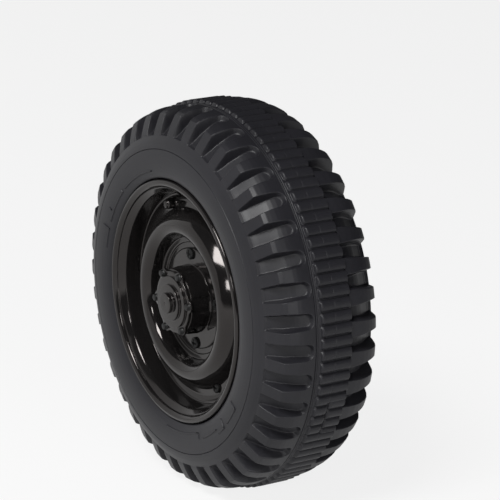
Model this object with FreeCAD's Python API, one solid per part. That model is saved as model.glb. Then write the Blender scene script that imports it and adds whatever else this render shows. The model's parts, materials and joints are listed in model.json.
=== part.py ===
import FreeCAD, Part
import math
import os

Vector = FreeCAD.Vector

# Front wheel of a ride-on toy car with its stub axle and moulded steering knuckle.
# Millimetres. The origin is on the kingpin axis at axle height.
# +X is forward, +Z is up and the wheel stands on the -Y side.
# "Out" is the distance from the tread's middle plane towards the wheel's outer face.

full_turn = 360.0
half_turn = 180.0
quarter_turn = 90.0
overrun = 5.0

# Places of the main axes
kingpin_offset = 90.0

# Flats that stand for round surfaces where no shaft runs. The tyre has two for each lug.
tyre_flats = 80
cavity_flats = 30
rim_flats = 40
small_flats = 16
ear_flats = 10
screw_flats = 8

# Tyre, a blow-moulded shell. Drops are measured inwards from the tread.
tyre_r = 135.0
tyre_wall = 3.0
crown_drop = 2.4
crown_r = tyre_r - crown_drop
crown_out = 26.0
inner_crown_drop = 1.4
inner_crown_r = tyre_r - inner_crown_drop
inner_crown_out = 29.5
kink_drop = 7.1
kink_r = tyre_r - kink_drop
kink_out = 34.7
shoulder_drop = 19.5
shoulder_r = tyre_r - shoulder_drop
shoulder_out = 41.4
seat_r = 80.4
seat_out = 37.6
bead_height = 4.3
bead_r = seat_r + bead_height
bead_out = 42.7
bulge_share = 0.334416
bulge_r = bead_r + bulge_share * (shoulder_r - bead_r)
bulge_out = 45.6
side_line_share = 0.665584
side_line_r = bead_r + side_line_share * (shoulder_r - bead_r)
side_line_out = 45.1
band_out = 10.4
band_in = 12.7

# Lugs, cut apart by grooves with drafted flanks
lug_count = 40
groove_angle = 6.51
groove_tip_out = 14.9
groove_end_half = 5.27
groove_mouth_half = 6.9
groove_draft = 0.2
inner_groove_half = 5.0
groove_end_facets = 4
groove_floor_drop = 7.4
groove_floor_r = tyre_r - groove_floor_drop
groove_floor_bend_out = 20.5
groove_foot_rise = 0.9
groove_foot_r = shoulder_r + groove_foot_rise
groove_foot_out = 38.8
groove_lip_drop = 1.5
groove_lip_r = shoulder_r - groove_lip_drop
groove_lip_out = 42.3

# Rim, two moulded dishes that meet at the tread's middle plane
rim_wall = 2.8
rim_clearance = 0.5
rim_edge_r = bead_r - rim_clearance
rim_edge_out = 42.4
lip_width = 2.6
lip_crest_r = rim_edge_r - lip_width
lip_crest_out = 44.8
lip_groove_width = 3.0
lip_groove_r = lip_crest_r - lip_groove_width
lip_groove_out = 42.2
cone_width = 3.5
barrel_edge_r = lip_groove_r - cone_width
barrel_edge_out = 37.4
barrel_taper = 2.0
floor_edge_r = barrel_edge_r - barrel_taper
floor_out = 26.5
recess_out = 25.4
inner_floor_out = 22.0
inner_rib_count = 8
inner_rib_width = 2.6
inner_rib_out = 34.0

# Hub tube, moulded with the inner rim dish
hub_tube_r = 17.0
hub_tube_bore_r = 14.0
hub_end_out = 50.0
bush_seat_length = 16.0

# Hub barrel with its base plate
plate_r = 35.1
plate_thick = 1.6
plate_screw_ring_r = 31.2
plate_screw_count = 4
plate_screw_phase = 95.0
hub_r = 22.3
hub_bore_r = 19.6
hub_pad_count = 6
hub_pad_height = 1.2
hub_pad_half_angle = 17.0
hub_pad_gap_out = 5.0
hub_rim_out = 41.7

# Half-round ring, between the base plate and the floor's edge
ring_place_share = 0.436842
ring_mid_r = plate_r + ring_place_share * (floor_edge_r - plate_r)
ring_round_r = 6.4
ring_spring_out = 33.3
ring_crest_facets = 5

# Hub cap
cap_flange_r = 21.3
cap_flange_thick = 2.0
cap_ear_count = 6
cap_ear_ring_r = 19.4
cap_ear_r = 5.0
cap_ear_phase = 4.5
cap_disc_r = 18.1
cap_disc_height = 1.6
cap_step_r = 12.7
cap_step_height = 1.8
cap_nose_r = 7.2
cap_nose_height = 2.9
cap_spigot_depth = 2.0
cap_spigot_clearance = 0.1

# Screws
screw_head_r = 4.0
screw_head_height = 2.2
screw_shank_r = 1.9
screw_length = 11.0
screw_post_r = 4.6

# Valve-like stub on the rim's floor, placed within the width that it can stand on
valve_r = 3.1
valve_length = 8.0
valve_angle = 111.4
valve_place_share = 0.636364
valve_low_r = ring_mid_r + ring_round_r + valve_r
valve_high_r = floor_edge_r - valve_r
valve_ring_r = valve_low_r + valve_place_share * (valve_high_r - valve_low_r)

# Stub axle
axle_r = 6.0
axle_bush_clearance = 0.06
axle_collar_r = 10.0
axle_collar_length = 4.0
axle_tip_out = 38.5
bush_flange_r = 16.4
bush_flange_thick = 2.0
washer_r = 12.0
washer_thick = 1.5
wheel_end_play = 0.3
nut_sides = 6
nut_r = 9.0
nut_height = 6.5
nut_collar_r = 8.0
nut_collar_height = 2.0

# Steering knuckle
knuckle_tube_r = 13.0
knuckle_tube_bore_r = 9.0
knuckle_height = 62.0
kingpin_r = 6.0
kingpin_clearance = 0.1
kingpin_flange_r = 11.5
kingpin_flange_thick = 2.0
kingpin_bush_depth = 16.0
boss_r = 12.0
axle_socket_depth = 22.0
web_thick = 6.0
web_share = 0.8
web_set_back = 4.0
arm_thick = 8.0
arm_reach = 58.0
arm_set_in = 12.0
arm_eye_r = 10.0
arm_root_r = 13.0
arm_drop = 19.0
tie_hole_r = 4.1

wheel_y = -kingpin_offset


def facet(*points):
    return Part.Face(Part.makePolygon(list(points) + [points[0]]))


def solid_of(faces):
    solid = Part.makeSolid(Part.makeShell(faces))
    if solid.Volume < 0:
        solid.reverse()
    return solid


def corner_r(r, flats):
    """The radius to the corners of a ring of flats whose middles lie at r."""
    return r / math.cos(math.radians(half_turn / flats))


def turned(flats, *points):
    """A body turned about the axle from (r, out) points, with that many flats."""
    rings = []
    for i in range(flats):
        angle = groove_angle + full_turn * i / flats
        spots = [(on_ring(corner_r(r, flats), angle), out) for r, out in points]
        rings.append([Vector(x, wheel_y - out, z) for (x, z), out in spots])
    faces = []
    for near, far in zip(rings, rings[1:] + rings[:1]):
        for j in range(len(points)):
            corners = [near[j - 1], near[j]]
            if points[j][0] > 0:
                corners.append(far[j])
            if points[j - 1][0] > 0:
                corners.append(far[j - 1])
            if points[j][0] + points[j - 1][0] > 0:
                faces.append(facet(*corners))
    return solid_of(faces).removeSplitter()


def bar(r, base, along, flats):
    """A bar from its base along a vector, round where no flats are asked for."""
    if flats == 0:
        return Part.makeCylinder(r, along.Length, base, along)
    sideways = Vector(0, 0, 1) if along.y else Vector(0, 1, 0)
    corners = []
    for i in range(flats):
        x, across = on_ring(corner_r(r, flats), full_turn * i / flats)
        corners.append(base + Vector(x, 0, 0) + sideways * across)
    return facet(*corners).extrude(along)


def along_axle(r, out_low, out_high, x=0, z=0, flats=0):
    """A bar parallel to the axle between two out values."""
    return bar(r, Vector(x, wheel_y - out_low, z), Vector(0, out_low - out_high, 0), flats)


def upright(r, low, high, x=0, y=0, flats=0):
    return bar(r, Vector(x, y, low), Vector(0, 0, high - low), flats)


def spun(shape, angle):
    """The shape turned about the axle, where positive goes from +X to +Z."""
    copy = shape.copy()
    copy.rotate(Vector(0, 0, 0), Vector(0, 1, 0), -angle)
    return copy


def ring_of(shape, count, phase):
    return [spun(shape, phase + full_turn * i / count) for i in range(count)]


def on_ring(r, angle):
    turn = math.radians(angle)
    return r * math.cos(turn), r * math.sin(turn)


def save(name, shape):
    shape.exportStep("parts/" + name + ".step")


def joined(first, others):
    return first.fuse(others).removeSplitter()


def tyre_skin():
    """The tyre's outer form with no grooves, filled to its bore."""
    return turned(
        tyre_flats,
        (seat_r, -seat_out),
        (bead_r, -bead_out),
        (bulge_r, -bulge_out),
        (side_line_r, -side_line_out),
        (shoulder_r, -shoulder_out),
        (inner_crown_r, -inner_crown_out),
        (inner_crown_r, -band_in),
        (tyre_r, -band_in),
        (tyre_r, band_out),
        (crown_r, band_out),
        (crown_r, crown_out),
        (kink_r, kink_out),
        (shoulder_r, shoulder_out),
        (side_line_r, side_line_out),
        (bulge_r, bulge_out),
        (bead_r, bead_out),
        (seat_r, seat_out),
    )


def tyre_cavity():
    """The closed air space inside the shell."""
    return turned(
        cavity_flats,
        (seat_r + tyre_wall, -seat_out + tyre_wall),
        (bulge_r, -bulge_out + tyre_wall),
        (groove_foot_r - tyre_wall, -groove_foot_out + tyre_wall),
        (groove_floor_r - tyre_wall, -groove_tip_out),
        (groove_floor_r - tyre_wall, groove_tip_out),
        (groove_foot_r - tyre_wall, groove_foot_out - tyre_wall),
        (bulge_r, bulge_out - tyre_wall),
        (seat_r + tyre_wall, seat_out - tyre_wall),
    )


def groove_plan(half, level, side):
    """The U of a groove at one level, seen along the radius."""
    bend_out = groove_tip_out + groove_end_half
    flare = groove_mouth_half - groove_end_half
    far_out = bulge_out + overrun
    points = [(-half - flare, far_out)]
    for i in range(groove_end_facets + 1):
        turn = math.radians(half_turn * i / groove_end_facets)
        points.append((-half * math.cos(turn), bend_out - half * math.sin(turn)))
    points.append((half + flare, far_out))
    return [Vector(across, wheel_y - side * out, level) for across, out in points]


def drafted(low_plan, high_plan):
    """A solid between two plans whose matching edges are parallel."""
    faces = [facet(*low_plan), facet(*high_plan)]
    for i in range(len(low_plan)):
        faces.append(facet(low_plan[i - 1], low_plan[i], high_plan[i], high_plan[i - 1]))
    return solid_of(faces)


def floor_block(side, points):
    """Everything above a groove's floor, wide enough to cross the groove."""
    half = groove_mouth_half + overrun
    corners = [Vector(-half, wheel_y - side * out, r) for r, out in points]
    return facet(*corners).extrude(Vector(half + half, 0, 0))


def outer_groove():
    """A drafted U that is cut between two outboard lugs."""
    low = groove_lip_r - overrun
    high = tyre_r + overrun
    over_out = bulge_out + overrun
    low_half = groove_end_half - groove_draft * (crown_r - low)
    high_half = groove_end_half + groove_draft * (high - crown_r)
    walls = drafted(groove_plan(low_half, low, 1), groove_plan(high_half, high, 1))
    floor = floor_block(1, [
        (groove_floor_r, groove_tip_out - overrun),
        (groove_floor_r, groove_floor_bend_out),
        (groove_foot_r, groove_foot_out),
        (groove_lip_r, groove_lip_out),
        (groove_lip_r, over_out),
        (high, over_out),
        (high, groove_tip_out - overrun),
    ])
    return floor.common(walls)


def inner_groove():
    """A straight gap between two inboard lugs, from the band's edge to the shoulder."""
    half = inner_groove_half
    over_out = bulge_out + overrun
    high = tyre_r + overrun
    points = [
        (groove_floor_r, band_in),
        (groove_floor_r, groove_floor_bend_out),
        (groove_foot_r, groove_foot_out),
        (groove_lip_r, groove_lip_out),
        (groove_lip_r, over_out),
        (high, over_out),
        (high, band_in),
    ]
    corners = [Vector(-half, wheel_y + out, r) for r, out in points]
    return facet(*corners).extrude(Vector(half + half, 0, 0))


def tyre():
    phase = groove_angle - quarter_turn
    cutters = ring_of(outer_groove(), lug_count, phase) + ring_of(inner_groove(), lug_count, phase)
    shell = tyre_skin().cut(Part.makeCompound(cutters)).removeSplitter()
    return shell.cut(tyre_cavity())


def ring_crest():
    """Points of the half-round ring's crest, from its inner foot to its outer foot."""
    points = []
    for i in range(ring_crest_facets + 1):
        turn = math.radians(half_turn * i / ring_crest_facets)
        points.append((ring_mid_r + ring_round_r * math.cos(turn),
                       ring_spring_out + ring_round_r * math.sin(turn)))
    return points


def rim_outer():
    """The glossy face dish: lip, cone, barrel, floor, half-round ring and recess."""
    back_out = recess_out - rim_wall
    ring_out_r = ring_mid_r + ring_round_r
    ring_in_r = ring_mid_r - ring_round_r
    body = turned(
        rim_flats,
        (hub_tube_r, back_out),
        (ring_in_r, back_out),
        (ring_mid_r, ring_spring_out),
        (ring_out_r, back_out),
        (seat_r - rim_clearance, back_out),
        (seat_r - rim_clearance, seat_out),
        (rim_edge_r, rim_edge_out),
        (lip_crest_r, lip_crest_out),
        (lip_groove_r, lip_groove_out),
        (barrel_edge_r, barrel_edge_out),
        (floor_edge_r, floor_out),
        (ring_out_r, floor_out),
        *ring_crest(),
        (ring_in_r, recess_out),
        (hub_tube_r, recess_out),
    )
    x, z = on_ring(plate_screw_ring_r, 0)
    post = along_axle(screw_post_r, recess_out - screw_length, back_out, x, z, screw_flats)
    body = joined(body, ring_of(post, plate_screw_count, plate_screw_phase))
    return body.cut(Part.makeCompound(plate_screw_holes(recess_out)))


def plate_screw_holes(top_out):
    x, z = on_ring(plate_screw_ring_r, 0)
    hole = along_axle(screw_shank_r, recess_out - screw_length, top_out + overrun, x, z, screw_flats)
    return ring_of(hole, plate_screw_count, plate_screw_phase)


def plate_screws():
    x, z = on_ring(plate_screw_ring_r, 0)
    seat = recess_out + plate_thick
    shank = along_axle(screw_shank_r, recess_out - screw_length, seat, x, z, screw_flats)
    head = along_axle(screw_head_r, seat, seat + screw_head_height, x, z, screw_flats)
    return Part.makeCompound(ring_of(joined(shank, [head]), plate_screw_count, plate_screw_phase))


def rim_inner():
    """The drum that carries the tyre, its web, the hub tube and the ribs between them."""
    drum_r = seat_r - rim_clearance
    drum_in_r = drum_r - rim_wall
    face_out = recess_out - rim_wall
    web_out = inner_floor_out - rim_wall
    body = turned(
        rim_flats,
        (hub_tube_bore_r, recess_out),
        (hub_tube_bore_r, -hub_end_out),
        (hub_tube_r, -hub_end_out),
        (hub_tube_r, -inner_floor_out),
        (floor_edge_r, -inner_floor_out),
        (lip_groove_r, -lip_crest_out),
        (lip_crest_r, -lip_crest_out),
        (rim_edge_r, -rim_edge_out),
        (drum_r, -seat_out),
        (drum_r, face_out),
        (drum_in_r, face_out),
        (drum_in_r, -web_out),
        (hub_tube_r, -web_out),
        (hub_tube_r, recess_out),
    )
    rib_start = (hub_tube_r + hub_tube_bore_r) / 2
    rib_end = (drum_r + floor_edge_r) / 2
    corner = Vector(rib_start, wheel_y + web_out, -inner_rib_width / 2)
    rib = Part.makeBox(rib_end - rib_start, inner_rib_out - web_out, inner_rib_width, corner)
    return joined(body, ring_of(rib, inner_rib_count, 0))


def hub_barrel():
    """The tube under the cap with its round base plate and six raised pads."""
    top_out = recess_out + plate_thick
    body = turned(
        rim_flats,
        (bush_flange_r, recess_out),
        (plate_r, recess_out),
        (plate_r, top_out),
        (hub_r, top_out),
        (hub_r, hub_rim_out),
        (hub_bore_r, hub_rim_out),
        (hub_bore_r, top_out),
        (bush_flange_r, top_out),
    )
    mid_r = (hub_bore_r + hub_r) / 2
    x, z = on_ring(hub_r + hub_pad_height, hub_pad_half_angle)
    low = top_out - plate_thick / 2
    corners = [
        Vector(mid_r, wheel_y - low, 0),
        Vector(x, wheel_y - low, -z),
        Vector(x, wheel_y - low, z),
    ]
    y = hub_pad_gap_out - hub_rim_out + low
    pad = facet(*corners).extrude(Vector(0, y, 0))
    pads = ring_of(pad, hub_pad_count, cap_ear_phase + half_turn / hub_pad_count)
    body = joined(body, pads)
    return body.cut(Part.makeCompound(plate_screw_holes(top_out)))


def hub_cap():
    """The stepped cap with six ears, on a short plug that sits in the barrel."""
    face_out = hub_rim_out + cap_flange_thick
    disc_out = face_out + cap_disc_height
    step_out = disc_out + cap_step_height
    nose_out = step_out + cap_nose_height
    spigot_r = hub_bore_r - cap_spigot_clearance
    body = turned(
        rim_flats,
        (0, hub_rim_out - cap_spigot_depth),
        (spigot_r, hub_rim_out - cap_spigot_depth),
        (spigot_r, hub_rim_out),
        (cap_flange_r, hub_rim_out),
        (cap_flange_r, face_out),
        (cap_disc_r, face_out),
        (cap_disc_r, disc_out),
        (cap_step_r, disc_out),
        (cap_step_r, step_out),
        (cap_nose_r, step_out),
        (cap_nose_r, nose_out),
        (0, nose_out),
    )
    x, z = on_ring(cap_ear_ring_r, 0)
    ear = along_axle(cap_ear_r, hub_rim_out, face_out, x, z, ear_flats)
    return joined(body, ring_of(ear, cap_ear_count, cap_ear_phase))


def valve_stub():
    x, z = on_ring(valve_ring_r, valve_angle)
    return along_axle(valve_r, floor_out, floor_out + valve_length, x, z, small_flats)


def bush_bore_r():
    return axle_r + axle_bush_clearance


def bush(side, end_out):
    """A flanged bush in one end of the hub tube, with its flange on the tube's end."""
    flange_out = end_out + bush_flange_thick
    points = [
        (0, end_out - bush_seat_length),
        (hub_tube_bore_r, end_out - bush_seat_length),
        (hub_tube_bore_r, end_out),
        (bush_flange_r, end_out),
        (bush_flange_r, flange_out),
        (0, flange_out),
    ]
    body = turned(rim_flats, *[(r, side * out) for r, out in points])
    return body.cut(along_axle(bush_bore_r(), -hub_end_out - overrun, flange_out + overrun))


def washer(low_out):
    top_out = low_out + washer_thick
    ring = along_axle(washer_r, low_out, top_out, flats=small_flats)
    return ring.cut(along_axle(bush_bore_r(), low_out - overrun, top_out + overrun, flats=small_flats))


def bush_face_out():
    return recess_out + bush_flange_thick


def inboard_face_out():
    return hub_end_out + bush_flange_thick


def axle_nut():
    seat = bush_face_out() + wheel_end_play + washer_thick
    hexagon_top = seat + nut_height
    top = hexagon_top + nut_collar_height
    body = along_axle(nut_r, seat, hexagon_top, flats=nut_sides)
    body = joined(body, [along_axle(nut_collar_r, hexagon_top, top, flats=small_flats)])
    return body.cut(along_axle(axle_r, seat - overrun, top + overrun, flats=small_flats))


def axle_inner_out():
    """Out value of the axle's end inside the knuckle's socket, a negative number."""
    return boss_face_out() - axle_socket_depth


def boss_face_out():
    """Out value of the boss's face, which seats the axle's collar."""
    return -inboard_face_out() - wheel_end_play - washer_thick - axle_collar_length


def stub_axle():
    shaft = along_axle(axle_r, axle_inner_out(), axle_tip_out)
    seat_out = boss_face_out()
    collar = along_axle(axle_collar_r, seat_out, seat_out + axle_collar_length, flats=small_flats)
    return joined(shaft, [collar])


def knuckle():
    """Moulded knuckle: kingpin tube, axle boss, webs and the steering arm."""
    half = knuckle_height / 2
    tube = upright(knuckle_tube_r, -half, half)
    boss = along_axle(boss_r, -kingpin_offset, boss_face_out())
    web_tip = wheel_y - boss_face_out() + web_set_back
    corners = [
        Vector(-web_thick / 2, 0, half * web_share),
        Vector(-web_thick / 2, 0, -half * web_share),
        Vector(-web_thick / 2, web_tip, -boss_r),
        Vector(-web_thick / 2, web_tip, boss_r),
    ]
    web = facet(*corners).extrude(Vector(web_thick, 0, 0))
    body = joined(tube, [boss, web, steering_arm()])
    body = body.cut(upright(knuckle_tube_bore_r, -half - overrun, half + overrun, flats=small_flats))
    socket = along_axle(axle_r, axle_inner_out(), boss_face_out() + overrun)
    tie_hole = upright(tie_hole_r, -half, half, -arm_reach, arm_set_in)
    return body.cut(Part.makeCompound([socket, tie_hole]))


def steering_arm():
    """A tapered flat arm from the tube to the tie rod's eye."""
    low = -arm_drop - arm_thick / 2
    eye = upright(arm_eye_r, low, low + arm_thick, -arm_reach, arm_set_in, small_flats)
    span = math.hypot(arm_reach, arm_set_in)
    across_x = arm_set_in / span
    across_y = arm_reach / span
    corners = [
        Vector(across_x * arm_root_r, across_y * arm_root_r, low),
        Vector(-across_x * arm_root_r, -across_y * arm_root_r, low),
        Vector(-arm_reach - across_x * arm_eye_r, arm_set_in - across_y * arm_eye_r, low),
        Vector(-arm_reach + across_x * arm_eye_r, arm_set_in + across_y * arm_eye_r, low),
    ]
    bar = facet(*corners).extrude(Vector(0, 0, arm_thick))
    return joined(eye, [bar])


def kingpin_bush(side):
    half = knuckle_height / 2
    bore = kingpin_r + kingpin_clearance
    sleeve = upright(knuckle_tube_bore_r, half - kingpin_bush_depth, half, flats=small_flats)
    flange = upright(kingpin_flange_r, half, half + kingpin_flange_thick, flats=small_flats)
    body = joined(sleeve, [flange])
    body = body.cut(upright(bore, 0, half + kingpin_flange_thick + overrun))
    if side < 0:
        body.rotate(Vector(0, 0, 0), Vector(1, 0, 0), half_turn)
    return body


def build():
    os.makedirs("parts", exist_ok=True)
    save("tyre", tyre())
    save("rim_outer", rim_outer())
    save("rim_inner", rim_inner())
    save("hub_barrel", hub_barrel())
    save("hub_cap", hub_cap())
    save("valve_stub", valve_stub())
    save("plate_screws", plate_screws())
    save("hub_bushes", Part.makeCompound([bush(1, recess_out), bush(-1, hub_end_out)]))
    outer_washer = washer(bush_face_out() + wheel_end_play)
    inner_washer = washer(-inboard_face_out() - wheel_end_play - washer_thick)
    save("axle_washers", Part.makeCompound([outer_washer, inner_washer]))
    save("axle_nut", axle_nut())
    save("stub_axle", stub_axle())
    save("knuckle", knuckle())
    save("kingpin_bushes", Part.makeCompound([kingpin_bush(1), kingpin_bush(-1)]))


build()
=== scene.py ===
import bpy
import json
import math
import numpy as np
from mathutils import Matrix, Vector


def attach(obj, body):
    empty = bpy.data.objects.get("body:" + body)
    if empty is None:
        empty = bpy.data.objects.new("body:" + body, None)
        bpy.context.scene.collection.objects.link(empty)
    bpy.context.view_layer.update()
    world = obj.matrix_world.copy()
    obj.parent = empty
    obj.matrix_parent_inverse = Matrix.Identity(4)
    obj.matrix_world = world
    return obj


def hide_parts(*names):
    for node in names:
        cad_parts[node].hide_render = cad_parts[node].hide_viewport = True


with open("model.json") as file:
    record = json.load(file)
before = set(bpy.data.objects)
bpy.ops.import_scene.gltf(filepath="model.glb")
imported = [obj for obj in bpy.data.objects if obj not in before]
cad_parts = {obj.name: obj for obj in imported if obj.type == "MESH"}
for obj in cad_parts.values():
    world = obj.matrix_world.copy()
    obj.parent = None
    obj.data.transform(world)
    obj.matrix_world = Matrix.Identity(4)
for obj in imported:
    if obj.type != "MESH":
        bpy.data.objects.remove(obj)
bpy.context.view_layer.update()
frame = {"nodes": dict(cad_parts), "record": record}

# Lengths are in millimetres and angles in degrees unless a comment says otherwise. The helpers
# turn them into metres and radians. "Out" is the distance from the tread's middle plane towards
# the wheel's outer face, and a point's angle runs from +X towards +Z.
MM = 0.001
WHEEL_Y = -90.0  # Y of the tread's middle plane, and the axle lies on Y
TREAD_BOTTOM = -135.0  # Z of the floor that the wheel stands on


# Mesh helpers

def point(r, angle, out):
    """A point of the wheel in metres."""
    turn = math.radians(angle)
    return Vector((r * math.cos(turn), WHEEL_Y - out, r * math.sin(turn))) * MM


def linked(name, data):
    """An object in the scene from its mesh, lamp or camera data."""
    obj = bpy.data.objects.new(name, data)
    bpy.context.scene.collection.objects.link(obj)
    return obj


def new_object(name, verts, faces, smooth=True):
    """An object from vertices in metres."""
    mesh = bpy.data.meshes.new(name)
    mesh.from_pydata([tuple(v) for v in verts], [], [tuple(f) for f in faces])
    mesh.update()
    if smooth:
        mesh.polygons.foreach_set("use_smooth", [True] * len(mesh.polygons))
    return linked(name, mesh)


def grid_object(name, r, out, angles):
    """A closed band from arrays of r and out, with a row per station and a column per angle."""
    turn = np.radians(np.atleast_2d(angles))
    rows, cols = r.shape
    xyz = np.stack([r * np.cos(turn), WHEEL_Y - out, r * np.sin(turn)], axis=-1) * MM
    index = np.arange(rows * cols).reshape(rows, cols)
    index = np.concatenate([index, index[:, :1]], axis=1)
    corners = [index[:-1, :-1], index[:-1, 1:], index[1:, 1:], index[1:, :-1]]
    quads = np.stack(corners, axis=-1).reshape(-1, 4)
    mesh = bpy.data.meshes.new(name)
    mesh.vertices.add(rows * cols)
    mesh.vertices.foreach_set("co", xyz.reshape(-1))
    mesh.loops.add(quads.size)
    mesh.loops.foreach_set("vertex_index", quads.reshape(-1).astype(np.int32))
    mesh.polygons.add(len(quads))
    mesh.polygons.foreach_set("loop_start", np.arange(0, quads.size, 4, dtype=np.int32))
    mesh.polygons.foreach_set("use_smooth", np.ones(len(quads), dtype=bool))
    mesh.update(calc_edges=True)
    mesh.validate()
    return linked(name, mesh)


def ring_faces(rings, cols):
    """Quads between rings of vertices that follow each other."""
    faces = []
    for j in range(rings - 1):
        for i in range(cols):
            k = (i + 1) % cols
            faces.append((j * cols + i, j * cols + k, (j + 1) * cols + k, (j + 1) * cols + i))
    return faces


def smoothstep(t):
    t = np.clip(t, 0.0, 1.0)
    return t * t * (3.0 - 2.0 * t)


def rounded(points, steps=6, share=0.35, limit=None):
    """Points of an (r, out) path with each corner between its ends turned into a short curve."""
    path = [np.array(points[0], dtype=float)]
    for before, here, after in zip(points, points[1:], points[2:]):
        before, here, after = (np.array(p, dtype=float) for p in (before, here, after))
        lead, tail = here - before, after - here
        cut = min(np.linalg.norm(lead), np.linalg.norm(tail)) * share
        if limit is not None:
            cut = min(cut, limit)
        start = here - lead / np.linalg.norm(lead) * cut
        end = here + tail / np.linalg.norm(tail) * cut
        for i in range(steps + 1):
            t = i / steps
            path.append((1 - t) ** 2 * start + 2 * t * (1 - t) * here + t * t * end)
    path.append(np.array(points[-1], dtype=float))
    return np.array(path)


def revolved(path, cols):
    """The angles, r and out of an (r, out) path turned about the axle."""
    path = np.array(path, dtype=float)
    angles = np.arange(cols) * 360.0 / cols
    return angles, np.repeat(path[:, :1], cols, axis=1), np.repeat(path[:, 1:], cols, axis=1)


def turned(name, path, cols=256):
    """A surface of revolution about the axle."""
    angles, r, out = revolved(path, cols)
    return grid_object(name, r, out, angles)


def closed_turned(name, section, cols=160, steps=2, limit=0.35):
    """A ring with softened corners, from the corners of its section."""
    path = rounded(list(section) + [section[0]], steps=steps, share=0.3, limit=limit)
    return turned(name, path, cols=cols)


def small_turned(name, centre_r, angle, path, cols=40):
    """A small round piece parallel to the axle, from (radius, out) points."""
    centre = point(centre_r, angle, 0.0)
    verts = []
    for radius, out in path:
        for i in range(cols):
            turn = 2 * math.pi * i / cols
            verts.append(centre + Vector((radius * math.cos(turn), -out, radius * math.sin(turn))) * MM)
    faces = ring_faces(len(path), cols)
    faces.append(tuple(range(cols)))
    faces.append(tuple((len(path) - 1) * cols + i for i in reversed(range(cols))))
    return new_object(name, verts, faces)


def joined(name, objs):
    bpy.ops.object.select_all(action="DESELECT")
    for obj in objs:
        obj.select_set(True)
    bpy.context.view_layer.objects.active = objs[0]
    bpy.ops.object.join()
    objs[0].name = name
    return objs[0]


# Tyre: lugs and the grooves between them

LUGS = 40
LUG_PITCH = 360.0 / LUGS
GROOVE_ANGLE = 6.51  # of the first groove's middle
GROOVE_END = 20.15  # out of the centre of an outboard groove's round end
WALL_CORNER = 0.16  # share of the wall's width that each of its corners is rounded over
THINNEST = 0.12  # square of the least share that the round end narrows the columns to

# Columns from a groove's middle to the next lug's middle, as shares of the floor's half width,
# of the wall and of what is left of the lug
FLOOR_SHARES = (0.0, 0.5, 0.85, 1.0)
WALL_SHARES = (1.0, 1.0 - WALL_CORNER, 0.5, WALL_CORNER, 0.0)
LUG_SHARES = (0.0, 0.08, 0.4, 1.0)

# Each row gives the lug's surface r and out, then the groove's floor r and out, then the groove's
# half width at the top and the width of its wall.
OUTER_LUG_ROWS = [
    (132.62, 14.35, 132.6, 14.35, 5.25, 1.00), (132.60, 14.90, 129.6, 15.20, 5.25, 1.00),
    (132.60, 17.00, 129.1, 17.30, 5.35, 1.10), (132.58, 20.20, 128.2, 20.30, 5.40, 1.30),
    (132.40, 23.50, 127.0, 23.20, 5.60, 1.45), (131.95, 26.50, 125.6, 25.80, 5.75, 1.60),
    (131.00, 29.60, 123.8, 28.20, 5.95, 1.70), (129.85, 32.60, 122.1, 30.30, 6.10, 1.60),
    (128.20, 35.20, 120.5, 32.20, 6.25, 1.55), (124.20, 37.50, 118.7, 34.30, 5.85, 1.45),
    (120.00, 39.50, 116.9, 36.40, 5.50, 1.30), (117.20, 40.75, 115.7, 37.90, 5.20, 1.10),
    (115.50, 41.35, 114.9, 38.90, 5.05, 1.00), (114.70, 41.55, 114.3, 39.50, 5.00, 1.00),
    (114.35, 41.70, 114.1, 41.50, 5.00, 1.00), (113.60, 42.05, 113.6, 42.05, 5.00, 1.00),
]
INNER_LUG_ROWS = [
    (133.60, 12.70, 127.0, 12.70, 4.85, 1.60), (133.50, 19.00, 126.5, 19.00, 5.20, 1.60),
    (132.90, 24.00, 125.4, 22.80, 5.60, 1.60), (131.80, 28.00, 123.9, 25.80, 5.95, 1.60),
    (130.40, 31.40, 122.6, 28.00, 6.10, 1.60), (128.70, 34.40, 121.1, 30.00, 6.15, 1.60),
    (126.60, 37.00, 119.4, 32.40, 6.10, 1.50), (123.20, 39.00, 117.9, 34.50, 5.85, 1.40),
    (119.60, 40.20, 116.8, 36.00, 5.50, 1.30), (117.20, 40.90, 115.8, 37.80, 5.20, 1.10),
    (115.50, 41.40, 114.9, 38.90, 5.05, 1.00), (114.70, 41.55, 114.3, 39.50, 5.00, 1.00),
    (114.35, 41.70, 114.1, 41.50, 5.00, 1.00), (113.60, 42.05, 113.6, 42.05, 5.00, 1.00),
]
ROWS_AT_ROUND_END = 4  # how many of the outer rows lie where the groove's end needs finer steps
END_SPACING, OUTER_SPACING, INNER_SPACING = 0.36, 0.62, 1.1


def spread(points, spacing):
    """Rows between key points, no further apart than the spacing."""
    rows = []
    for a, b in zip(points, points[1:]):
        a, b = np.array(a, dtype=float), np.array(b, dtype=float)
        count = max(1, int(math.ceil(np.linalg.norm((b - a)[:2]) / spacing)))
        rows += [a + (b - a) * i / count for i in range(count)]
    rows.append(np.array(points[-1], dtype=float))
    return np.array(rows)


def wall_profile(share):
    """How far down the groove's wall a point is, with both corners of the wall rounded."""
    corner = WALL_CORNER
    top = np.clip(share + corner, 0.0, 2 * corner) ** 2 / (4 * corner)
    low = np.clip(1.0 + corner - share, 0.0, 2 * corner) ** 2 / (4 * corner)
    middle = np.clip(share, corner, 1.0 - corner)
    return np.where(share < corner, top, np.where(share > 1.0 - corner, 1.0 - low, middle))


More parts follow.
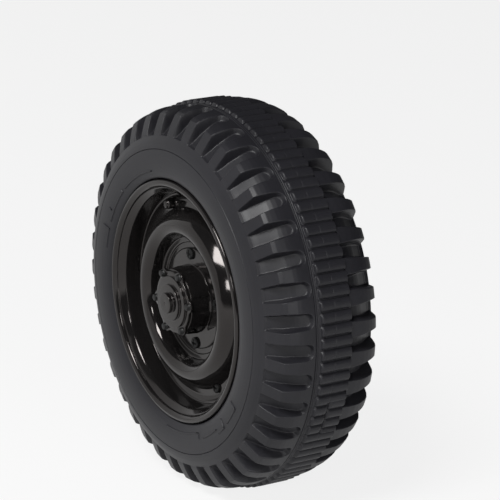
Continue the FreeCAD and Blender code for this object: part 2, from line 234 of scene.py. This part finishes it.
def lug_sheet(name, rows, side, round_end=None):
    """Lugs over their grooves, as one sheet whose columns follow the grooves' walls."""
    top_r, top_out, floor_r, floor_out, half, wall = (rows[:, i:i + 1] for i in range(6))
    narrowing, past = np.ones_like(half), np.zeros_like(half)
    if round_end is not None:
        past = np.minimum(top_out - round_end, 0.0)
        narrowing = np.sqrt(np.maximum(1.0 - (past / half) ** 2, THINNEST))
    low = half - (1.0 + WALL_CORNER) * wall
    high = (half + WALL_CORNER * wall) * narrowing
    pitch = math.radians(LUG_PITCH) * top_r
    columns = [low * share * narrowing for share in FLOOR_SHARES]
    columns += [(half - wall * share) * narrowing for share in WALL_SHARES]
    columns += [high + (pitch / 2 - high) * share for share in LUG_SHARES]
    columns = np.concatenate(columns, axis=1)
    across = np.concatenate([-columns[:, :0:-1], columns[:, :-1]], axis=1)
    inside = half - np.sqrt(across ** 2 + past ** 2)
    down = wall_profile(inside / wall)
    r = np.tile(top_r + (floor_r - top_r) * down, (1, LUGS))
    out = np.tile(top_out + (floor_out - top_out) * down, (1, LUGS))
    turn = np.degrees(across / top_r)
    angles = np.concatenate([turn + GROOVE_ANGLE + LUG_PITCH * i for i in range(LUGS)], axis=1)
    return grid_object(name, r, side * out, angles)


def outer_lugs():
    fine = spread(OUTER_LUG_ROWS[:ROWS_AT_ROUND_END], END_SPACING)[:-1]
    rest = spread(OUTER_LUG_ROWS[ROWS_AT_ROUND_END - 1:], OUTER_SPACING)
    return lug_sheet("tyre_outer_lugs", np.concatenate([fine, rest]), 1.0, GROOVE_END)


def inner_lugs():
    return lug_sheet("tyre_inner_lugs", spread(INNER_LUG_ROWS, INNER_SPACING), -1.0)


# Tyre: ribbed band in the middle of the tread

RIBS = 100
RIB_PITCH = 360.0 / RIBS
RIB_TOP_R = 135.0
RIB_HALF = 3.85
RIB_HEIGHT = 2.38
RIB_POWERS = (2.2, 0.55)  # of its section: one flattens the crest, the other steepens the sides
RIB_COLUMNS = 20
COLUMN_SHIFT = 0.08  # draws the columns together at a rib's sides
BAND_R = 132.62
BAND_EDGE_R = 133.5  # where the band meets the inboard lugs
BAND_SKIRT_R = 126.5  # and how far it reaches down between them
RIB_END, RIB_END_LENGTH = 10.5, 1.5  # out of a rib's square end, and the length of its rise
CORNER_ACROSS, CORNER_OUT, CORNER_SIZE = 2.3, 8.9, 1.6  # where that end's corners are cut away
SEAMS = [(0.90, 13.85, 0.26), (0.42, 12.25, 0.18)]  # depth, out and half width of the fine lines
SPLIT = (-31.0, -19.3)  # angles between which the ribs' inboard half stands half a pitch aside
TICK = (0.2, 0.22)  # depth and half width of the line across the middle of a rib
SPLIT_GAP = (1.7, 0.6)  # the same for the gap that parts the two halves there


def rib_outs():
    seams = [14.35, 14.2, 14.05, 13.9, 13.75, 13.6, 13.45, 13.3, 12.6, 12.4, 12.25, 12.1, 11.95, 11.2]
    end = [10.7, 10.45, 10.3, 10.1, 9.8, 9.4, 8.9, 8.3, 7.6, 6.8]
    middle = list(np.linspace(5.8, 0.8, 5)) + [0.45, 0.25, 0.1, -0.1, -0.25, -0.45]
    inboard = list(np.linspace(-0.8, -11.6, 9)) + [-12.0, -12.3, -12.55, -12.7, -12.7, -12.7]
    return np.array(seams + end + middle + inboard)


def rib_band():
    """Rounded ribs side by side, with square ends and the seam lines beside them."""
    fine = np.arange(RIB_COLUMNS) / RIB_COLUMNS - 0.5
    local = fine + COLUMN_SHIFT * np.sin(fine * 2 * math.pi) / math.pi
    aside = (local + 1.0) % 1.0 - 0.5
    angles = np.array([(i + x) * RIB_PITCH for i in range(RIBS) for x in local]) + GROOVE_ANGLE
    outs = rib_outs()
    out = np.repeat(outs[:, None], RIBS * RIB_COLUMNS, axis=1)
    signed = (angles + 180.0) % 360.0 - 180.0
    split = ((signed > SPLIT[0]) & (signed < SPLIT[1]))[None, :]
    local, aside = np.tile(local, RIBS)[None, :], np.tile(aside, RIBS)[None, :]
    across = np.abs(np.where((out < 0.0) & split, aside, local) * (math.radians(RIB_PITCH) * RIB_TOP_R))
    flat, steep = RIB_POWERS
    bulge = np.clip(1.0 - (across / RIB_HALF) ** flat, 0.0, 1.0) ** steep
    end = np.clip((RIB_END - out) / RIB_END_LENGTH, 0.0, 1.0)
    end = np.sqrt(np.clip(1.0 - (1.0 - end) ** flat, 0.0, 1.0))
    corner = np.maximum(across - CORNER_ACROSS, 0.0) / CORNER_SIZE
    corner = np.clip(1.0 - corner * np.clip(out - CORNER_OUT, 0.0, CORNER_SIZE), 0.0, 1.0)
    base = np.full(len(outs), BAND_R)
    for depth, middle, half in SEAMS:
        base -= depth * np.exp(-((outs - middle) / half) ** 2)
    gap_depth, gap_half = (np.where(split, wide, plain) for wide, plain in zip(SPLIT_GAP, TICK))
    gap = gap_depth * np.exp(-((out / gap_half) ** 2))
    r = base[:, None] + (RIB_HEIGHT - gap) * bulge * end * corner
    r[-2:] = np.minimum(r[-2:], BAND_EDGE_R)
    r[-1:] = BAND_SKIRT_R
    return grid_object("tyre_ribs", r, out, angles)


# Tyre: sidewalls and beads

SIDE_PATH = [
    (114.2, 41.75), (113.0, 42.35), (110.4, 43.68), (107.6, 44.65), (105.75, 45.05), (105.5, 45.07),
    (105.2, 44.4), (104.9, 45.13), (104.6, 45.2), (101.0, 45.55), (98.0, 45.68), (95.0, 45.66),
    (92.0, 45.4), (89.4, 44.95), (87.4, 44.35), (86.0, 43.65), (85.1, 42.95), (84.72, 42.3),
    (84.7, 41.4), (84.7, 38.0),
]

# Short raised lines on the outer sidewall, from one r and angle to another, and their section as
# shares of the width and the height
SIDE_LINES = [
    (90.3, 90.3, 105.4, 131.7), (90.0, 93.0, 135.0, 135.0), (90.3, 90.3, 135.0, 154.2),
    (93.0, 96.0, 149.0, 149.0), (90.3, 90.3, 158.3, 168.3), (90.0, 97.0, 158.3, 158.3),
    (90.5, 90.5, 265.4, 291.7), (90.5, 95.0, 292.5, 292.5), (95.0, 95.0, 296.7, 308.3),
    (98.5, 98.5, 309.6, 314.6), (91.5, 98.5, 314.6, 314.6), (98.5, 98.5, 318.0, 327.5),
    (91.5, 98.5, 327.5, 327.5),
]
LINE_SECTION = [(-0.5, -0.3), (-0.38, 0.7), (-0.18, 1.0), (0.18, 1.0), (0.38, 0.7), (0.5, -0.3)]
LINE_WIDTH = 1.2
LINE_HEIGHT = 0.6
RADIAL_STEPS = 5
ARC_STEPS_PER_DEGREE = 1.5


def sidewall(name, side):
    path = rounded(SIDE_PATH, steps=2, share=0.3, limit=0.5)
    return turned(name, [(r, side * out) for r, out in path], cols=400)


def side_out(r):
    """The sidewall's out at one radius."""
    pts = sorted(SIDE_PATH)
    return float(np.interp(r, [p[0] for p in pts], [p[1] for p in pts]))


def raised_line(r_start, r_end, a_start, a_end):
    """Vertices and faces of one low line on the sidewall, along an arc or a radius."""
    radial = r_start != r_end
    steps = RADIAL_STEPS if radial else int(abs(a_end - a_start) * ARC_STEPS_PER_DEGREE) + 2
    verts, faces = [], []
    for i in range(steps + 1):
        t = i / steps
        r = r_start + (r_end - r_start) * t
        angle = a_start + (a_end - a_start) * t
        for across, up in LINE_SECTION:
            near_r = r if radial else r + across * LINE_WIDTH
            near_angle = angle + math.degrees(across * LINE_WIDTH / r) if radial else angle
            verts.append(point(near_r, near_angle, side_out(near_r) + up * LINE_HEIGHT))
    n = len(LINE_SECTION)
    for i in range(steps):
        for j in range(n - 1):
            faces.append((i * n + j, i * n + j + 1, (i + 1) * n + j + 1, (i + 1) * n + j))
    faces.append(tuple(range(n)))
    faces.append(tuple(steps * n + j for j in reversed(range(n))))
    return verts, faces


def side_lines():
    verts, faces = [], []
    for line in SIDE_LINES:
        line_verts, line_faces = raised_line(*line)
        base = len(verts)
        verts += line_verts
        faces += [tuple(base + i for i in face) for face in line_faces]
    return new_object("tyre_side_lines", verts, faces)


# Rim: outer dish

RING_CENTRE = (51.1, 31.8)  # r and out of the centre of the half-round ring's crest
RING_RADIUS = 7.0
CREST_FROM, CREST_TO, CREST_STEPS = 42.0, 158.0, 24
FLANK_START = (56.30, 36.48)  # the crest's foot, where the ring's outer flank starts
FLANK_STEPS, FLANK_STEP = 12, 0.92
FLANK_SLOPE, FLANK_SLOPE_LOSS = 42.0, 14.0  # from the axle's direction, and its loss down to the foot
LIP = [
    (84.2, 38.0), (84.2, 42.9), (83.6, 44.2), (81.8, 44.8), (80.2, 44.2), (79.2, 43.0), (78.95, 42.5),
    (78.7, 41.5), (78.4, 41.7), (77.9, 41.3), (74.8, 38.0), (73.1, 26.5), (71.0, 26.5),
]
FLOOR = [(71.0, 26.5), (66.0, 26.5), (63.1, 26.5), (62.6, 27.3)]
RECESS = [(44.40, 33.9), (42.9, 27.6), (42.3, 26.6), (39.6, 26.6), (39.0, 26.3), (38.6, 25.4), (17.0, 25.4)]


def rim_face():
    """The glossy dish: lip, fine groove, cone, barrel, floor, half-round ring and recess."""
    crest = []
    for i in range(CREST_STEPS + 1):
        turn = math.radians(CREST_FROM + (CREST_TO - CREST_FROM) * i / CREST_STEPS)
        crest.append((RING_CENTRE[0] + RING_RADIUS * math.cos(turn),
                      RING_CENTRE[1] + RING_RADIUS * math.sin(turn)))
    flank = [np.array(FLANK_START)]
    for i in range(FLANK_STEPS):
        slope = math.radians(FLANK_SLOPE - FLANK_SLOPE_LOSS * (i + 0.5) / FLANK_STEPS)
        flank.append(flank[-1] + FLANK_STEP * np.array([math.sin(slope), -math.cos(slope)]))
    lip = rounded(LIP, steps=5, share=0.42, limit=1.1)
    floor = rounded(FLOOR, steps=4, limit=0.8)
    recess = rounded(RECESS, steps=4, limit=0.8)
    path = np.concatenate([lip, floor[:-1], np.array(flank[:0:-1]), np.array(crest), recess])
    return turned("rim_face", path)


def back_of_rim():
    path = rounded([
        (17.0, 22.6), (45.3, 22.6), (48.0, 26.0), (51.7, 33.3), (55.4, 26.0), (58.1, 22.6),
        (79.9, 22.6), (79.9, 38.0), (84.2, 42.0),
    ], steps=3)
    return turned("rim_face_back", path, cols=160)


# Hub: barrel, cap, bolts, screws and the small pieces on the rim's floor

EARS = 6
EAR_STEP = 360.0 / EARS
EAR_ANGLE = 4.5  # of the first ear
EAR_R, EAR_REACH = 19.4, 5.0  # r of an ear's centre, and the ear's own radius
FLANGE_R = 21.3
OUTLINE_PASSES, OUTLINE_LIMIT = 3, 0.3  # smoothing of the flange's outline, and its most growth
BARREL_OUTSIDE = (21.0, 24.0)  # the r between which the barrel's outside lies
PAD_R, PAD_HALF, PAD_HEIGHT = 23.0, 6.6, 1.2
PAD_FROM, PAD_TO = 27.6, 37.1
PAD_SIDE, PAD_FOOT, PAD_TOP = 0.7, 0.8, 0.7  # widths of a pad's slopes


def hub_tube_shape():
    """The barrel and its plate, with six pads standing proud of the barrel."""
    path = rounded([
        (16.4, 25.5), (16.4, 27.0), (19.4, 27.0), (19.6, 27.4), (19.6, 41.5), (19.9, 41.7), (22.0, 41.7),
        (22.3, 41.4), (22.4, 34.0), (22.8, 28.4), (23.6, 27.2), (25.5, 27.0), (34.3, 27.0), (35.1, 26.6),
        (35.1, 25.4),
    ], steps=4, limit=0.9)
    angles, r, out = revolved(path, 288)
    phase = (angles - EAR_ANGLE - EAR_STEP / 2) / EAR_STEP
    across = np.radians((phase - np.round(phase)) * EAR_STEP)[None, :] * PAD_R
    pad = smoothstep((PAD_HALF - np.abs(across)) / PAD_SIDE)
    height = smoothstep((out - PAD_FROM) / PAD_FOOT) * smoothstep((PAD_TO - out) / PAD_TOP)
    outside = (r > BARREL_OUTSIDE[0]) & (r < BARREL_OUTSIDE[1])
    r = r + np.where(outside, pad * height * PAD_HEIGHT, 0.0)
    return grid_object("hub_barrel_shape", r, out, angles)


def cap_shape():
    """The stepped cap: a flange with six ears, then three discs, each smaller and further out."""
    cols = 360
    angles = np.arange(cols) * 360.0 / cols
    phase = (angles - EAR_ANGLE) / EAR_STEP
    local = np.radians((phase - np.round(phase)) * EAR_STEP)
    left = EAR_REACH ** 2 - (EAR_R * np.sin(local)) ** 2
    ear = np.where(left > 0.0, EAR_R * np.cos(local) + np.sqrt(np.maximum(left, 0.0)), 0.0)
    sharp = np.maximum(FLANGE_R, ear)
    edge = sharp
    for _ in range(OUTLINE_PASSES):
        edge = (np.roll(edge, 1) + edge + np.roll(edge, -1)) / 3.0
    edge = np.minimum(edge, sharp + OUTLINE_LIMIT)
    skirt = [(19.6, 41.7), (edge, 41.7), (edge, 43.3), (edge - 0.15, 43.58), (edge - 0.4, 43.7)]
    discs = rounded([
        (18.9, 43.7), (18.1, 43.7), (18.1, 45.3), (12.7, 45.3), (12.7, 47.1), (7.25, 47.1), (7.2, 50.0),
        (0.7, 50.0), (0.5, 49.5), (0.01, 49.5),
    ], steps=5, share=0.45, limit=0.55)
    rings = skirt + list(discs)
    r = np.stack([np.full(cols, ring[0]) for ring in rings])
    out = np.stack([np.full(cols, ring[1]) for ring in rings])
    return grid_object("hub_cap_shape", r, out, angles)


# Sections of the small pieces as (radius, out), and their places on the wheel as (r, angle)
BOLT = [(2.6, 43.6), (2.6, 44.4), (2.25, 44.6), (2.25, 45.6), (2.1, 45.9), (1.8, 46.0), (0.01, 46.0)]
BOLT_R = 21.4
STEM = [(4.3, 26.5), (4.3, 27.6), (3.7, 27.8), (3.6, 28.2), (3.6, 32.6), (3.4, 33.0), (2.8, 33.3),
        (2.7, 34.2), (2.5, 34.5), (0.01, 34.5)]
STEM_PLACE = (66.8, 111.4)
DOT = [(1.8, 27.4), (1.75, 28.6), (1.4, 29.3), (0.8, 29.7), (0.01, 29.8)]
DOT_PLACE = (61.6, 99.4)

# Screws with a cross recess: how many, their r, the first one's angle and the out of their seat.
# The radii are those of a head's rings, from its seat to its middle.
PLATE_SCREWS = (4, 31.2, 95.0, 27.0)
FLOOR_SCREWS = (3, 63.1, -62.5, 26.5)
HEAD_RADII = [4.0, 4.0, 3.9, 3.6, 3.2, 2.9, 2.6, 2.3, 2.0, 1.75, 1.5, 1.25, 1.0, 0.75, 0.5, 0.25, 0.01]
HEAD_HEIGHT, HEAD_DROP = 2.2, 0.9
CROSS_HALF, CROSS_REACH, CROSS_DEPTH = 0.8, 2.9, 1.5
CROSS_SIDE, CROSS_TIP = 0.35, 0.4  # widths of the slopes beside and at the end of each arm
RINGS_OUTSIDE_CROSS = 3


def cross_screw(centre_r, angle, seat):
    """A pan head with a cross recess pressed into it."""
    centre = point(centre_r, angle, 0.0)
    cols = 48
    verts = []
    for j, radius in enumerate(HEAD_RADII):
        dome = HEAD_HEIGHT - HEAD_DROP * (radius / HEAD_RADII[0]) ** 4 if j else 0.0
        for i in range(cols):
            turn = 2 * math.pi * i / cols
            x, z = radius * math.cos(turn), radius * math.sin(turn)
            deep = 0.0
            if j >= RINGS_OUTSIDE_CROSS:
                in_arm = smoothstep((CROSS_HALF - min(abs(x), abs(z))) / CROSS_SIDE)
                deep = float(in_arm * smoothstep((CROSS_REACH - max(abs(x), abs(z))) / CROSS_TIP))
            out = seat + dome - CROSS_DEPTH * deep
            verts.append(centre + Vector((x, -out, z)) * MM)
    return new_object("head", verts, ring_faces(len(HEAD_RADII), cols))


def screw_circle(name, count, centre_r, first, seat):
    return joined(name, [cross_screw(centre_r, first + 360.0 / count * i, seat) for i in range(count)])


def cap_bolts():
    bolts = [small_turned("bolt", BOLT_R, EAR_ANGLE + EAR_STEP * i, BOLT, cols=32) for i in range(EARS)]
    return joined("cap_bolts", bolts)


# Inner dish, bushes and axle

INNER_RIBS = 8
INNER_RIB_LOW, INNER_RIB_CREST = -19.2, -34.0
INNER_RIB_HALF, INNER_RIB_CORNER, INNER_RIB_BEND = 1.3, 0.5, 0.15
INNER_RIB_ENDS = (15.5, 76.5)
SHAFT_BORE_R, TUBE_R, BUSH_FLANGE_R = 6.06, 14.0, 16.4
WASHER_R, WASHER_THICK = 12.0, 1.5
WASHER_OUTS = (27.7, -53.8)  # of each washer's inboard face


def inner_ribs():
    """Eight ribs from the hub tube to the inner dish's cone, with rounded crests."""
    half, corner = INNER_RIB_HALF, INNER_RIB_CORNER
    section = [
        (-half, INNER_RIB_LOW), (-half, INNER_RIB_CREST + corner),
        (-half + INNER_RIB_BEND, INNER_RIB_CREST + INNER_RIB_BEND), (-half + corner, INNER_RIB_CREST),
    ]
    section += [(-across, out) for across, out in reversed(section)]
    n = len(section)
    verts, faces = [], []
    for i in range(INNER_RIBS):
        turn = math.radians(360.0 / INNER_RIBS * i)
        along = Vector((math.cos(turn), 0.0, math.sin(turn)))
        aside = Vector((-math.sin(turn), 0.0, math.cos(turn)))
        base = len(verts)
        for r in INNER_RIB_ENDS:
            for across, out in section:
                verts.append((along * r + aside * across + Vector((0.0, WHEEL_Y - out, 0.0))) * MM)
        for j in range(n):
            k = (j + 1) % n
            faces.append((base + j, base + k, base + n + k, base + n + j))
        faces.append(tuple(base + j for j in reversed(range(n))))
        faces.append(tuple(base + n + j for j in range(n)))
    return new_object("rim_inner_ribs", verts, faces, smooth=False)


def inner_dish():
    return closed_turned("rim_inner_dish", [
        (14.0, 25.4), (14.0, -50.0), (17.0, -50.0), (17.0, -22.0), (73.1, -22.0), (78.6, -44.8),
        (81.6, -44.8), (84.2, -42.4), (79.9, -38.0), (79.9, 22.6), (77.1, 22.6), (77.1, -19.2),
        (17.0, -19.2), (17.0, 25.4),
    ], cols=200, steps=4, limit=0.9)


def flanged_bushes():
    outer = closed_turned("bush", [
        (SHAFT_BORE_R, 9.4), (TUBE_R, 9.4), (TUBE_R, 25.4), (BUSH_FLANGE_R, 25.4), (BUSH_FLANGE_R, 27.4),
        (SHAFT_BORE_R, 27.4),
    ])
    inner = closed_turned("bush", [
        (SHAFT_BORE_R, -34.0), (TUBE_R, -34.0), (TUBE_R, -50.0), (BUSH_FLANGE_R, -50.0),
        (BUSH_FLANGE_R, -52.0), (SHAFT_BORE_R, -52.0),
    ])
    return joined("hub_bush_pair", [outer, inner])


def flat_washers():
    rings = []
    for low in WASHER_OUTS:
        rings.append(closed_turned("washer", [
            (SHAFT_BORE_R, low), (WASHER_R, low), (WASHER_R, low + WASHER_THICK),
            (SHAFT_BORE_R, low + WASHER_THICK),
        ], limit=0.2))
    return joined("washer_pair", rings)


def axle_shape():
    path = rounded([
        (0.01, 38.5), (5.2, 38.5), (6.0, 37.7), (6.0, -53.8), (10.0, -53.8), (10.0, -57.8), (6.0, -57.8),
        (6.0, -79.8), (0.01, -79.8),
    ], steps=3, share=0.3, limit=0.4)
    return turned("stub_axle_shape", path, cols=96)


def kingpin_bush(side):
    """A flanged bush in one end of the upright kingpin tube, whose axis is the Z axis."""
    path = rounded([
        (6.1, 15.0), (9.0, 15.0), (9.0, 31.0), (11.5, 31.0), (11.5, 33.0), (6.1, 33.0), (6.1, 15.0),
    ], steps=3, share=0.3, limit=0.35)
    cols = 72
    verts = []
    for r, height in path:
        for i in range(cols):
            turn = 2 * math.pi * i / cols
            verts.append(Vector((r * math.cos(turn), r * math.sin(turn), side * height)) * MM)
    return new_object("kingpin_bush", verts, ring_faces(len(path), cols))


# Materials

TONE_SPREAD = 0.15  # how far the colour varies to either side of its base
TONE_ENDS = (0.3, 0.7)  # noise values at which the darkest and the lightest tone are reached
BROAD_SCALE, BROAD_DETAIL = 18.0, 4.0  # the noise of that variation and of the roughness
GRAIN_DETAIL = 3.0
BUMP_DISTANCE = 0.0002  # metres


def noise(nodes, links, coords, scale, detail):
    texture = nodes.new("ShaderNodeTexNoise")
    texture.inputs["Scale"].default_value = scale
    texture.inputs["Detail"].default_value = detail
    links.new(coords.outputs["Object"], texture.inputs["Vector"])
    return texture


def material(name, base, rough, grain_scale, bump_strength, rough_spread=0.06, metallic=0.0,
             specular=0.5, tint=(1.0, 1.0, 1.0)):
    """Moulded plastic or plated metal with a fine grain and a slow change of tone and gloss."""
    mat = bpy.data.materials.new(name)
    mat.use_nodes = True
    nodes, links = mat.node_tree.nodes, mat.node_tree.links
    shader = nodes["Principled BSDF"]
    shader.inputs["Metallic"].default_value = metallic
    shader.inputs["Specular IOR Level"].default_value = specular
    shader.inputs["Specular Tint"].default_value = (*tint, 1.0)
    coords = nodes.new("ShaderNodeTexCoord")
    grain = noise(nodes, links, coords, grain_scale, GRAIN_DETAIL)
    broad = noise(nodes, links, coords, BROAD_SCALE, BROAD_DETAIL)
    ramp = nodes.new("ShaderNodeValToRGB")
    dark, light = ramp.color_ramp.elements
    dark.position, light.position = TONE_ENDS
    dark.color = [c * (1 - TONE_SPREAD) for c in base] + [1.0]
    light.color = [min(1.0, c * (1 + TONE_SPREAD)) for c in base] + [1.0]
    links.new(broad.outputs["Fac"], ramp.inputs["Fac"])
    links.new(ramp.outputs["Color"], shader.inputs["Base Color"])
    gloss = nodes.new("ShaderNodeMapRange")
    gloss.inputs["To Min"].default_value = rough - rough_spread
    gloss.inputs["To Max"].default_value = rough + rough_spread
    links.new(broad.outputs["Fac"], gloss.inputs["Value"])
    links.new(gloss.outputs["Result"], shader.inputs["Roughness"])
    bump = nodes.new("ShaderNodeBump")
    bump.inputs["Strength"].default_value = bump_strength
    bump.inputs["Distance"].default_value = BUMP_DISTANCE
    links.new(grain.outputs["Fac"], bump.inputs["Height"])
    links.new(bump.outputs["Normal"], shader.inputs["Normal"])
    return mat


SLOT_MATS = {
    "tyre_plastic": material("tyre_plastic", (0.0142, 0.0139, 0.0168), 0.40, 1400.0, 0.07,
                             rough_spread=0.04, specular=0.29),
    "rim_gloss": material("rim_gloss", (0.007, 0.0065, 0.0065), 0.09, 300.0, 0.015,
                          rough_spread=0.02, specular=0.46, tint=(1.0, 0.93, 0.9)),
    "black_screw": material("black_screw", (0.005, 0.005, 0.005), 0.42, 900.0, 0.1,
                            rough_spread=0.05, specular=0.28),
    "nylon": material("nylon", (0.72, 0.71, 0.67), 0.42, 700.0, 0.1),
    "zinc_steel": material("zinc_steel", (0.6, 0.62, 0.64), 0.28, 900.0, 0.12,
                           rough_spread=0.08, metallic=1.0),
    "knuckle_plastic": material("knuckle_plastic", (0.034, 0.034, 0.036), 0.45, 1100.0, 0.35),
}


def paint(obj, mat):
    if obj.data.materials:
        for i in range(len(obj.data.materials)):
            obj.data.materials[i] = mat
    else:
        obj.data.materials.append(mat)


def add_piece(obj, slot_name, *nodes, body="wheel"):
    """Paint a piece, let it ride on its body and let it stand for its CAD nodes."""
    paint(obj, SLOT_MATS[slot_name])
    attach(obj, body)
    if nodes:
        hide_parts(*nodes)


for part in frame["record"]["subparts"]:
    node = frame["nodes"][part["node"]]
    paint(node, SLOT_MATS[part["material_slot"]])

add_piece(outer_lugs(), "tyre_plastic", "tyre")
add_piece(inner_lugs(), "tyre_plastic", "tyre")
add_piece(rib_band(), "tyre_plastic", "tyre")
add_piece(sidewall("tyre_outer_side", 1.0), "tyre_plastic", "tyre")
add_piece(sidewall("tyre_inner_side", -1.0), "tyre_plastic", "tyre")
add_piece(side_lines(), "tyre_plastic", "tyre")
add_piece(rim_face(), "rim_gloss", "rim_outer")
add_piece(back_of_rim(), "rim_gloss", "rim_outer")
add_piece(hub_tube_shape(), "rim_gloss", "hub_barrel")
add_piece(cap_shape(), "rim_gloss", "hub_cap")
add_piece(small_turned("valve_shape", *STEM_PLACE, STEM), "rim_gloss", "valve_stub")
add_piece(small_turned("floor_dot", *DOT_PLACE, DOT), "rim_gloss")
add_piece(cap_bolts(), "black_screw")
add_piece(screw_circle("plate_screw_heads", *PLATE_SCREWS), "black_screw", "plate_screws")
add_piece(screw_circle("floor_screw_heads", *FLOOR_SCREWS), "black_screw")
add_piece(inner_dish(), "rim_gloss", "rim_inner")
add_piece(inner_ribs(), "rim_gloss", "rim_inner")
add_piece(flanged_bushes(), "nylon", "hub_bushes")
add_piece(flat_washers(), "zinc_steel", "axle_washers", body="knuckle_body")
add_piece(axle_shape(), "zinc_steel", "stub_axle", body="knuckle_body")
add_piece(joined("kingpin_bush_pair", [kingpin_bush(1), kingpin_bush(-1)]), "nylon", "kingpin_bushes",
          body="knuckle_body")


# Floor, light and camera

FLOOR_HALF = 8.0  # metres
FLOOR_GREY, FLOOR_ROUGH = 0.78, 0.8
FLOOR_IN_MIRROR = 0.4  # how white the floor shows in reflections, from 0 to 1
FLOOR_IN_VIEW = 0.84  # and to the camera

# Each lamp's azimuth, elevation and distance as seen from the wheel, its width and height, in
# metres, and its power in watts
LAMPS = {
    "key": ((-60.0, 50.0, 2.1), (0.8, 0.68), 36.0),
    "low_front": ((-43.0, 21.0, 2.1), (0.34, 0.34), 6.5),
    "side_wall": ((-131.0, 23.0, 2.1), (5.8, 1.9), 23.0),
    "front_soft": ((-4.0, 12.0, 2.3), (1.0, 1.6), 13.0),
}
WORLD_COLOUR = (0.95, 0.97, 1.0, 1.0)
WORLD_STRENGTH = 0.045

# The camera's place, the direction from the wheel back to it, the azimuth that points to the
# frame's right, the roll, and the lens and sensor, all fitted to the photograph's outlines
CAMERA_PLACE = (1528.47, -1029.94, 517.89)
CAMERA_BACK = (0.81751, -0.51273, 0.26229)
CAMERA_AZIMUTH = 57.90
CAMERA_ROLL = -0.27
CAMERA_LENS = 195.0
SENSOR_WIDTH = 36.0
NEAREST = 0.05  # metres


def math_node(nodes, links, operation, first, second):
    """The result of a Math node on a socket and on a second socket or number."""
    node = nodes.new("ShaderNodeMath")
    node.operation = operation
    links.new(first, node.inputs[0])
    if isinstance(second, float):
        node.inputs[1].default_value = second
    else:
        links.new(second, node.inputs[1])
    return node.outputs[0]


def floor_plane():
    """A pale floor that keeps the wheel's shadow and shows white to the camera and in reflections."""
    corners = ((-1, -1), (1, -1), (1, 1), (-1, 1))
    verts = [(x * FLOOR_HALF, y * FLOOR_HALF, TREAD_BOTTOM * MM) for x, y in corners]
    obj = new_object("floor", verts, [(0, 1, 2, 3)], smooth=False)
    mat = bpy.data.materials.new("floor_pale")
    mat.use_nodes = True
    nodes, links = mat.node_tree.nodes, mat.node_tree.links
    shader = nodes["Principled BSDF"]
    shader.inputs["Base Color"].default_value = (FLOOR_GREY, FLOOR_GREY, FLOOR_GREY, 1.0)
    shader.inputs["Roughness"].default_value = FLOOR_ROUGH
    glow = nodes.new("ShaderNodeEmission")
    glow.inputs["Color"].default_value = (1.0, 1.0, 1.0, 1.0)
    ray = nodes.new("ShaderNodeLightPath").outputs
    mirrored = math_node(nodes, links, "MAXIMUM", ray["Is Glossy Ray"], ray["Is Transmission Ray"])
    in_mirror = math_node(nodes, links, "MULTIPLY", mirrored, FLOOR_IN_MIRROR)
    in_view = math_node(nodes, links, "MULTIPLY", ray["Is Camera Ray"], FLOOR_IN_VIEW)
    mix = nodes.new("ShaderNodeMixShader")
    links.new(math_node(nodes, links, "MAXIMUM", in_mirror, in_view), mix.inputs["Fac"])
    links.new(shader.outputs["BSDF"], mix.inputs[1])
    links.new(glow.outputs["Emission"], mix.inputs[2])
    links.new(mix.outputs["Shader"], nodes["Material Output"].inputs["Surface"])
    paint(obj, mat)


def area_light(name, place, size, power):
    """A rectangular lamp that faces the wheel's centre."""
    azimuth, elevation, distance = place
    turn, rise = math.radians(azimuth), math.radians(elevation)
    position = Vector((
        distance * math.cos(rise) * math.cos(turn),
        WHEEL_Y * MM + distance * math.cos(rise) * math.sin(turn),
        distance * math.sin(rise)))
    data = bpy.data.lights.new(name, "AREA")
    data.shape = "RECTANGLE"
    data.size, data.size_y = size
    data.energy = power
    obj = linked(name, data)
    obj.location = position
    aim = Vector((0.0, WHEEL_Y * MM, 0.0)) - position
    obj.rotation_euler = aim.to_track_quat("-Z", "Y").to_euler()


def studio():
    floor_plane()
    for name, lamp in LAMPS.items():
        area_light(name, *lamp)
    world = bpy.data.worlds.new("studio")
    bpy.context.scene.world = world
    world.use_nodes = True
    background = world.node_tree.nodes["Background"]
    background.inputs["Color"].default_value = WORLD_COLOUR
    background.inputs["Strength"].default_value = WORLD_STRENGTH
    bpy.context.scene.view_settings.view_transform = "Standard"


def camera():
    azimuth, roll = math.radians(CAMERA_AZIMUTH), math.radians(CAMERA_ROLL)
    back = Vector(CAMERA_BACK).normalized()
    right = Vector((math.cos(azimuth), math.sin(azimuth), 0.0))
    up = back.cross(right)
    rolled_right = right * math.cos(roll) + up * math.sin(roll)
    rolled_up = up * math.cos(roll) - right * math.sin(roll)
    data = bpy.data.cameras.new("camera")
    data.sensor_width = SENSOR_WIDTH
    data.lens = CAMERA_LENS
    data.clip_start = NEAREST
    obj = linked("camera", data)
    basis = Matrix((rolled_right, rolled_up, back)).transposed().to_4x4()
    basis.translation = Vector(CAMERA_PLACE) * MM
    obj.matrix_world = basis
    bpy.context.scene.camera = obj


studio()
camera()
